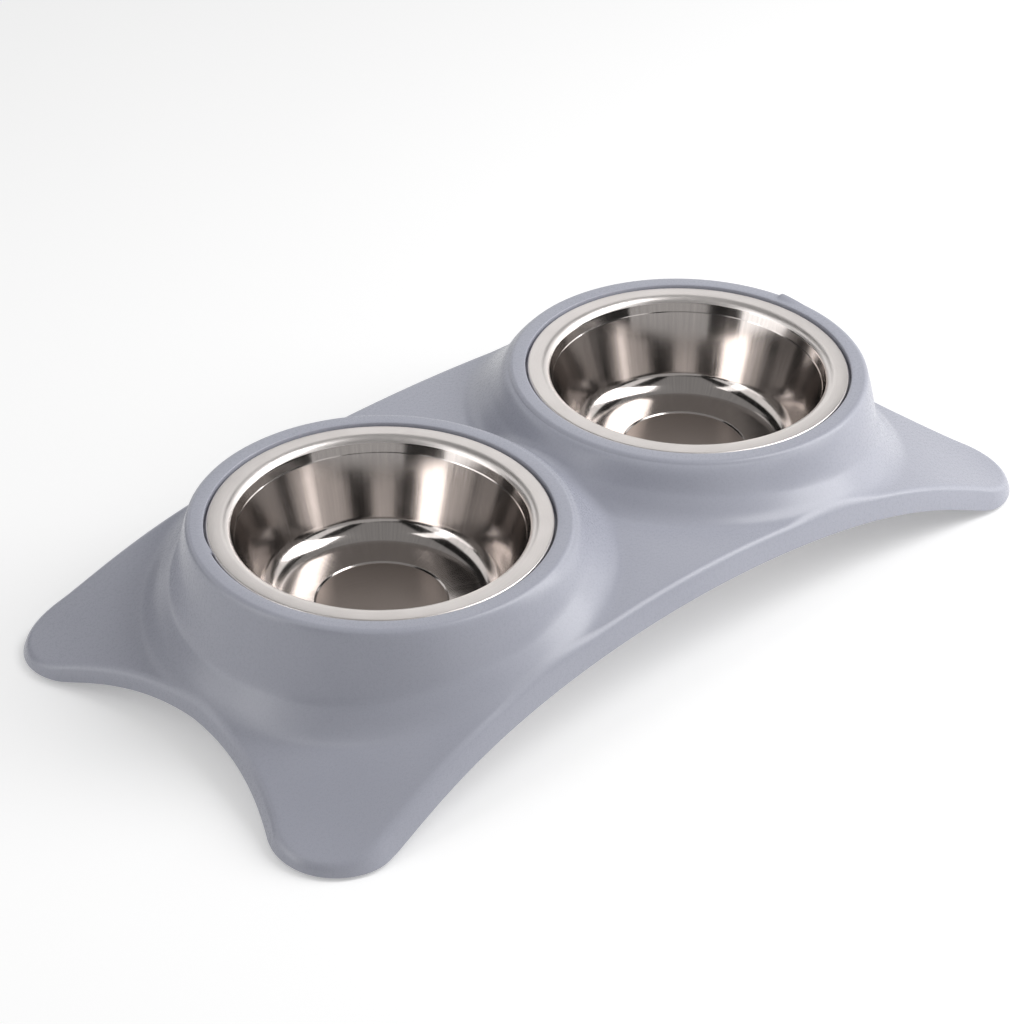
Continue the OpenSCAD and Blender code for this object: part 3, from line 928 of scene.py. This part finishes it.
def brushing_group():
    """Fine brushed lines: rings round the axis where Rings is 1, lines down it where it is 0."""
    name = "Brushed lines"
    if name in bpy.data.node_groups:
        return bpy.data.node_groups[name]
    group = node_group(name, [("Place", "NodeSocketVector", None),
                              ("Fineness", "NodeSocketFloat", 1800.0),
                              ("Rings", "NodeSocketFloat", 1.0),
                              ("Blotch", "NodeSocketFloat", 60.0)],
                       [("Lines", "NodeSocketFloat"), ("Blotches", "NodeSocketFloat")])
    ring_drift, line_spread, line_drift = 0.006, 0.055, 0.03
    t = Tree(group)
    source = t.add("NodeGroupInput")
    place_out = source.outputs["Place"]
    flat = t.vector("MULTIPLY", place_out, (1.0, 1.0, 0.0))
    way = t.vector("NORMALIZE", flat)
    height = t.add("ShaderNodeSeparateXYZ", Vector=place_out).outputs["Z"]
    turned = t.add("ShaderNodeCombineXYZ", X=t.vector("LENGTH", flat), Y=height, Z=0.0)
    ring_place = t.vector("ADD", turned.outputs[0], t.scaled(way, ring_drift))
    lift = t.add("ShaderNodeCombineXYZ", X=0.0, Y=0.0,
                 Z=t.math("MULTIPLY", height, line_drift))
    line_place = t.vector("ADD", t.scaled(way, line_spread), lift.outputs[0])
    chosen = t.add("ShaderNodeMix", {"data_type": "VECTOR"})
    t.feed(chosen.inputs[0], source.outputs["Rings"])
    t.feed(chosen.inputs[4], line_place)
    t.feed(chosen.inputs[5], ring_place)
    lines = t.noise(chosen.outputs[1], source.outputs["Fineness"], detail=4, rough=0.65)
    blotches = t.noise(place_out, source.outputs["Blotch"], detail=3, rough=0.5)
    t.add("NodeGroupOutput", Lines=lines,
          Blotches=t.span(blotches, *NOISE, 0.0, 1.0, smooth_step=True))
    return group


def new_material(name):
    material = bpy.data.materials.new(name)
    material.use_nodes = True
    material.node_tree.nodes.clear()
    return material, Tree(material.node_tree)


def plastic_material(finish):
    """Satin moulded plastic with a fine grain and soft clouds."""
    material, t = new_material("Satin grey plastic")
    where = t.add("ShaderNodeTexCoord").outputs["Object"]
    grain = t.group(grain_group(), Place=where, Grain=2400.0, Cloud=16.0)
    shader = t.add("ShaderNodeBsdfPrincipled", Metallic=0.0, IOR=1.46)
    t.feed(shader.inputs["Base Color"], t.mix(grain.outputs["Clouds"], rgb(finish.plastic),
                                              rgb(finish.plastic_pale)))
    smoother, rougher = finish.plastic_rough - 0.03, finish.plastic_rough + 0.05
    t.feed(shader.inputs["Roughness"],
           t.span(grain.outputs["Height"], *NOISE, smoother, rougher))
    bump = t.add("ShaderNodeBump", Strength=0.06, Distance=0.08 * MM,
                 Height=grain.outputs["Height"])
    t.feed(shader.inputs["Normal"], bump.outputs["Normal"])
    t.finish(shader)
    return material


def steel_material(name, base, shade, rings, fineness, rough, bump_size):
    """Stainless steel with faint blotches and brushed lines, shaded to that share at most."""
    material, t = new_material(name)
    where = t.add("ShaderNodeTexCoord").outputs["Object"]
    brushed = t.group(brushing_group(), Place=where, Fineness=fineness, Rings=rings,
                      Blotch=70.0)
    lines, blotches = brushed.outputs["Lines"], brushed.outputs["Blotches"]
    shader = t.add("ShaderNodeBsdfPrincipled", Metallic=1.0)
    t.feed(shader.inputs["Base Color"],
           t.mix(t.span(lines, *NOISE, 0.0, 1.0), rgb(base, shade), rgb(base)))
    wear = t.math("ADD", t.math("MULTIPLY", lines, 0.7), t.math("MULTIPLY", blotches, 0.3))
    t.feed(shader.inputs["Roughness"], t.span(wear, *WIDE_NOISE, *rough))
    bump = t.add("ShaderNodeBump", Strength=0.25, Distance=bump_size, Height=lines)
    t.feed(shader.inputs["Normal"], bump.outputs["Normal"])
    t.finish(shader)
    return material


def rubber_material(finish):
    """Dull dark rubber."""
    material, t = new_material("Dark rubber")
    where = t.add("ShaderNodeTexCoord").outputs["Object"]
    grain = t.group(grain_group(), Place=where, Grain=3200.0, Cloud=90.0)
    shader = t.add("ShaderNodeBsdfPrincipled", Metallic=0.0, IOR=1.5)
    t.feed(shader.inputs["Base Color"],
           t.mix(grain.outputs["Clouds"], rgb(finish.rubber), rgb(finish.rubber, 1.6)))
    t.feed(shader.inputs["Roughness"], t.span(grain.outputs["Height"], *NOISE, 0.72, 0.86))
    bump = t.add("ShaderNodeBump", Strength=0.4, Distance=0.12 * MM,
                 Height=grain.outputs["Height"])
    t.feed(shader.inputs["Normal"], bump.outputs["Normal"])
    t.finish(shader)
    return material


def floor_material(stage):
    """Matt pale floor that takes shadows, and looks brighter than it lights the object."""
    material, t = new_material("Pale floor")
    where = t.add("ShaderNodeTexCoord").outputs["Object"]
    grain = t.group(grain_group(), Place=where, Grain=40.0, Cloud=1.5)
    tint = t.mix(grain.outputs["Clouds"], rgb(stage.floor_colour),
                 rgb(stage.floor_colour, 0.99))
    matt = t.add("ShaderNodeBsdfDiffuse", Color=tint)
    glow = t.add("ShaderNodeEmission", Color=WHITE, Strength=stage.floor_glow)
    nothing = t.add("ShaderNodeEmission", Color=BLACK, Strength=0.0)
    shown = t.blend("ShaderNodeMixShader", nothing, glow, t.seen())
    t.finish(t.blend("ShaderNodeAddShader", matt, shown))
    return material


def dark_card_material():
    """Matt near-black card with soft clouds."""
    material, t = new_material("Dark card")
    where = t.add("ShaderNodeTexCoord").outputs["Object"]
    clouds = t.group(grain_group(), Place=where, Grain=60.0, Cloud=1.5).outputs["Clouds"]
    dark, darkest = (0.03, 0.03, 0.03), (0.02, 0.02, 0.02)
    t.finish(t.add("ShaderNodeBsdfDiffuse", Color=t.mix(clouds, rgb(darkest), rgb(dark))))
    return material


def glowing_material(name, strength):
    """White that gives off light of its own."""
    material, t = new_material(name)
    t.finish(t.add("ShaderNodeEmission", Color=WHITE, Strength=strength))
    return material


# Operators


class PETBOWL_OT_stand(bpy.types.Operator):
    """Builds the moulded stand with its collars, lugs and bosses"""

    bl_idname = "petbowl.stand"
    bl_label = "Stand"

    def execute(self, context):
        form = StandForm(settings(context, "stand"), settings(context, "bowls"))
        pads = settings(context, "pads")
        stand = add_object("stand_moulding", form.build())
        others = [add_object("boss", boss_mesh(form, pads, x, y))
                  for x in (-1, 1) for y in (-1, 1)]
        others += [add_object("lug", mesh) for mesh in (inner_lug_mesh(form),
                                                        top_lug_mesh(form))]
        join_solids(stand, others)
        smooth(stand)
        stand.data.materials.clear()
        stand.data.materials.append(plastic_material(settings(context, "finish")))
        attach(stand, "stand")
        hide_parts("stand")
        return {"FINISHED"}


class PETBOWL_OT_bowls(bpy.types.Operator):
    """Builds the two pressed steel bowls"""

    bl_idname = "petbowl.bowls"
    bl_label = "Bowls"

    def execute(self, context):
        bowls = settings(context, "bowls")
        finish = settings(context, "finish")
        section, zones = bowl_section(bowls)
        materials = [
            # The rim's colour is painted light, paler than the same steel in the wall
            steel_material("Satin steel rim, painted paler", finish.steel_satin_painted_light, 0.93, rings=1.0,
                           fineness=2600.0, rough=(0.30, 0.40), bump_size=0.02 * MM),
            steel_material("Polished steel wall", finish.steel, 0.86, rings=0.0,
                           fineness=900.0, rough=(0.10, 0.17), bump_size=0.012 * MM),
            # The disc's colour is painted shade, darker than the same steel in the wall
            steel_material("Satin steel disc, painted darker", finish.steel_disc_painted_shade, 0.9, rings=1.0,
                           fineness=2200.0, rough=(0.34, 0.46), bump_size=0.02 * MM),
        ]
        for body, side in (("bowl_left", -1), ("bowl_right", 1)):
            bowl = add_object(body + "_steel", lathe(section, bowls.segments, zones),
                              (side * bowls.pitch / 2, 0, bowls.rim_height))
            smooth(bowl, degrees=40)
            for material in materials:
                bowl.data.materials.append(material)
            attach(bowl, body)
            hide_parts(body)
        return {"FINISHED"}


class PETBOWL_OT_pads(bpy.types.Operator):
    """Builds the four rubber foot pads"""

    bl_idname = "petbowl.pads"
    bl_label = "Foot pads"

    def execute(self, context):
        pads = settings(context, "pads")
        material = rubber_material(settings(context, "finish"))
        for node in sorted(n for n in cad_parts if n.startswith("foot_pad")):
            low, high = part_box(node)
            middle = (low + high) / 2
            pad = add_object(node + "_rubber", lathe(pad_section(pads), pads.segments),
                             (middle.x, middle.y, low.z))
            smooth(pad)
            pad.data.materials.append(material)
            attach(pad, "stand")
            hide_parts(node)
        return {"FINISHED"}


def soft_box(name, at, aim, width, long, power):
    """A soft lamp that looks at a point and isn't seen by the camera."""
    data = bpy.data.lights.new(name, "AREA")
    data.shape = "RECTANGLE"
    data.size, data.size_y = width, long
    data.energy = power
    lamp = bpy.data.objects.new(name, data)
    bpy.context.scene.collection.objects.link(lamp)
    lamp.location = at
    lamp.rotation_mode = "QUATERNION"
    lamp.rotation_quaternion = (Vector(aim) - Vector(at)).to_track_quat("-Z", "Y")
    lamp.visible_camera = False


# Low cards round the object: the finish of each, and where it starts and ends in degrees from
# the camera
LOW_CARDS = {"card_low_left": ("dark", -137, -92), "card_white_left": ("white", -90, -47),
             "card_low_middle": ("dark", -46, -17), "card_pale": ("pale", -16, 50),
             "card_low_right": ("dark", 51, 100), "card_white_right": ("white", 103, 131)}


class PETBOWL_OT_stage(bpy.types.Operator):
    """Builds the floor, the studio light and the camera"""

    bl_idname = "petbowl.stage"
    bl_label = "Stage"

    def execute(self, context):
        stage = settings(context, "stage")
        self.make_floor(stage)
        self.make_sky(context, stage)
        self.make_lamps(stage)
        self.make_cards(stage)
        self.make_camera(context, stage)
        context.scene.view_settings.view_transform = "Standard"
        return {"FINISHED"}

    def make_floor(self, stage):
        """Round pale floor, wider than any view of the object."""
        bm = bmesh.new()
        bmesh.ops.create_circle(bm, cap_ends=True, segments=96, radius=stage.floor_radius)
        floor = add_object("studio_floor", bm, (0, 0, -stage.floor_drop))
        floor.data.materials.append(floor_material(stage))

    def make_sky(self, context, stage):
        """Soft light from all round, with a white background."""
        world = bpy.data.worlds.new("Studio")
        context.scene.world = world
        world.use_nodes = True
        world.node_tree.nodes.clear()
        t = Tree(world.node_tree)
        soft = t.add("ShaderNodeBackground", Color=WHITE, Strength=stage.sky)
        white = t.add("ShaderNodeBackground", Color=WHITE, Strength=1.0)
        t.finish(t.blend("ShaderNodeMixShader", soft, white, t.seen()), "ShaderNodeOutputWorld")

    def make_lamps(self, stage):
        """A strong soft box on the right and a weak one on the left."""
        for name, beside, drop, width, long, power in (
                ("key_lamp", -stage.key_turn, 0, stage.key_width, stage.key_length, stage.key),
                ("fill_lamp", stage.fill_turn, stage.fill_drop, stage.fill_width,
                 stage.fill_length, stage.fill)):
            a = stage.azimuth + math.pi / 2 + beside
            at = (stage.lamp_reach * math.cos(a), stage.lamp_reach * math.sin(a),
                  stage.lamp_height - drop)
            soft_box(name, at, (0, 0, stage.lamp_aim), width, long, power)

    def make_cards(self, stage):
        """Cards that only reflections show, turned with the line of sight."""
        finishes = {"dark": dark_card_material(),
                    "grey": glowing_material("Grey card", stage.card_grey),
                    "pale": glowing_material("Pale card", stage.card_pale),
                    "white": glowing_material("White card", stage.card_white)}
        wide, middle, gap = stage.card_width / 2, stage.card_middle / 2, stage.card_gap / 2
        far, top, foot = stage.card_far, stage.card_height, stage.card_foot
        front = stage.card_front
        back = front + stage.card_depth
        cards = [("card_overhead", "grey", (-middle, -far, top), (middle, front, top)),
                 ("card_over_left", "dark", (-wide, -far, top), (-middle, front, top)),
                 ("card_over_right", "dark", (middle, -far, top), (wide, front, top)),
                 ("card_left", "dark", (-wide, front, top), (-gap, back, top)),
                 ("card_right", "dark", (gap, front, top), (wide, back, top)),
                 ("card_camera", "dark", (-wide, -far, foot), (wide, -far, top))]
        for name, (finish, *ends) in LOW_CARDS.items():
            (x0, y0), (x1, y1) = ((stage.card_near * math.sin(math.radians(a)),
                                   -stage.card_near * math.cos(math.radians(a)))
                                  for a in ends)
            cards.append((name, finish, (x0, y0, 0), (x1, y1, stage.card_low)))
        for name, finish, start, end in cards:
            (x0, y0, z0), (x1, y1, z1) = start, end
            corners = ((start, (x1, y0, z0), end, (x0, y1, z1)) if z0 == z1
                       else (start, (x1, y1, z0), end, (x0, y0, z1)))
            bm = bmesh.new()
            bm.faces.new([bm.verts.new(p) for p in corners])
            card = add_object(name, bm)
            card.rotation_euler.z = stage.azimuth
            card.data.materials.append(finishes[finish])
            card.visible_camera = card.visible_diffuse = False
            card.visible_transmission = card.visible_shadow = False

    def make_camera(self, context, stage):
        """Camera at the photograph's viewing angle."""
        data = bpy.data.cameras.new("camera")
        data.sensor_width = 36
        data.lens = stage.lens
        data.clip_start, data.clip_end = 0.01, 100
        camera = bpy.data.objects.new("camera", data)
        context.scene.collection.objects.link(camera)
        a, e = stage.azimuth, stage.elevation
        back = Vector((math.sin(a) * math.cos(e), -math.cos(a) * math.cos(e), math.sin(e)))
        right = Vector((0, 0, 1)).cross(back).normalized()
        up = back.cross(right)
        c, s = math.cos(stage.roll), math.sin(stage.roll)
        across, above = right * c + up * s, up * c - right * s
        camera.matrix_world = Matrix.Translation(
            Vector(stage.aim) + back * stage.distance) @ Matrix(
                (across, above, back)).transposed().to_4x4()
        context.scene.camera = camera


class PETBOWL_PT_panel(bpy.types.Panel):
    """Lists the pieces of the pet bowl and their sizes."""

    bl_idname = "PETBOWL_PT_panel"
    bl_label = "Pet bowl"
    bl_space_type = "VIEW_3D"
    bl_region_type = "UI"
    bl_category = "Pet bowl"

    def draw(self, context):
        for operator in OPERATORS:
            self.layout.operator(operator.bl_idname)
        for name, group in GROUPS.items():
            box = self.layout.box()
            box.label(text=name.capitalize())
            values = settings(context, name)
            for prop in group.__annotations__:
                box.prop(values, prop)


OPERATORS = (PETBOWL_OT_stand, PETBOWL_OT_bowls, PETBOWL_OT_pads, PETBOWL_OT_stage)
CLASSES = (*GROUPS.values(), *OPERATORS, PETBOWL_PT_panel)


def register():
    for cls in CLASSES:
        bpy.utils.register_class(cls)
    for name, group in GROUPS.items():
        setattr(bpy.types.Scene, "pet_bowl_" + name, bpy.props.PointerProperty(type=group))


def unregister():
    for name in GROUPS:
        delattr(bpy.types.Scene, "pet_bowl_" + name)
    for cls in reversed(CLASSES):
        bpy.utils.unregister_class(cls)


def main():
    register()
    bpy.ops.petbowl.stage()
    bpy.ops.petbowl.stand()
    bpy.ops.petbowl.bowls()
    bpy.ops.petbowl.pads()


if __name__ == "__main__":
    main()
